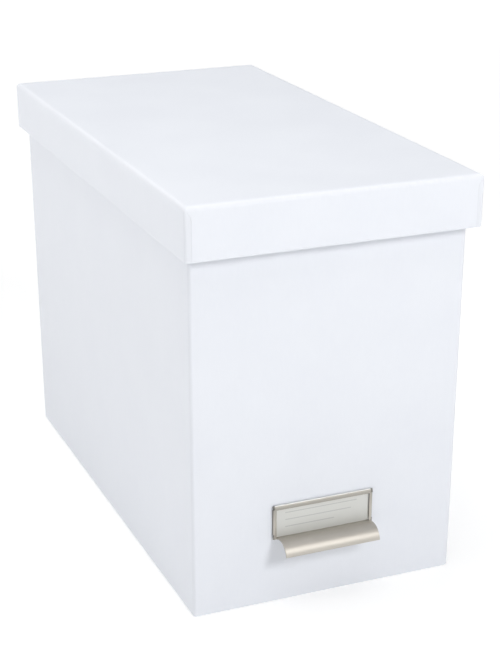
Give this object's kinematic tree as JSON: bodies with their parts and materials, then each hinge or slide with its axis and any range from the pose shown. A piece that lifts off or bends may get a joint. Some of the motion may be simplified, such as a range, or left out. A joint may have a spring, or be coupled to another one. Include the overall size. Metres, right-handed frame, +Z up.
{
  "type": "hanging file document box with lift-off lid",
  "caption": "Tall paper-covered board document box with an overlapping lift-off lid, a metal label holder with a bent-out pull on one end, and steel rails inside for hanging files.",
  "frame": {"origin": "centre of the box's underside, on the surface it stands on", "axes": "+Z up through the lid's top, +Y from the label end to the rear along the box's length, +X across its width to the right when facing the label"},
  "size_m": [0.186, 0.361, 0.262],
  "materials": {
    "white_paper": "matte",
    "lining_paper": "matte",
    "grey_board": "matte",
    "rail_steel": "satin",
    "satin_nickel": "satin",
    "label_stock": "matte"
  },
  "bodies": {
    "box": {"base_sheet": "white_paper", "floor_board": "grey_board", "left_wall_board": "grey_board", "right_wall_board": "grey_board", "front_wall_board": "grey_board", "rear_wall_board": "grey_board", "body_wrap": "white_paper", "wall_lining": "lining_paper", "floor_lining": "lining_paper", "front_file_rail": "rail_steel", "rear_file_rail": "rail_steel", "front_left_rail_rivet": "rail_steel", "front_right_rail_rivet": "rail_steel", "rear_left_rail_rivet": "rail_steel", "rear_right_rail_rivet": "rail_steel", "label_holder": "satin_nickel"},
    "lid": {"lid_top_board": "grey_board", "lid_left_board": "grey_board", "lid_right_board": "grey_board", "lid_front_board": "grey_board", "lid_rear_board": "grey_board", "lid_wrap": "white_paper", "lid_top_lining": "lining_paper"},
    "card": {"label_card": "label_stock"}
  },
  "joints": [
    {"name": "lid_lift", "type": "slide", "parent": "box", "child": "lid", "axis": [0, 0, 1], "range_m": [0, 0.15]},
    {"name": "card_slide", "type": "slide", "parent": "box", "child": "card", "axis": [0, 0, 1], "range_m": [0, 0.028]}
  ]
}
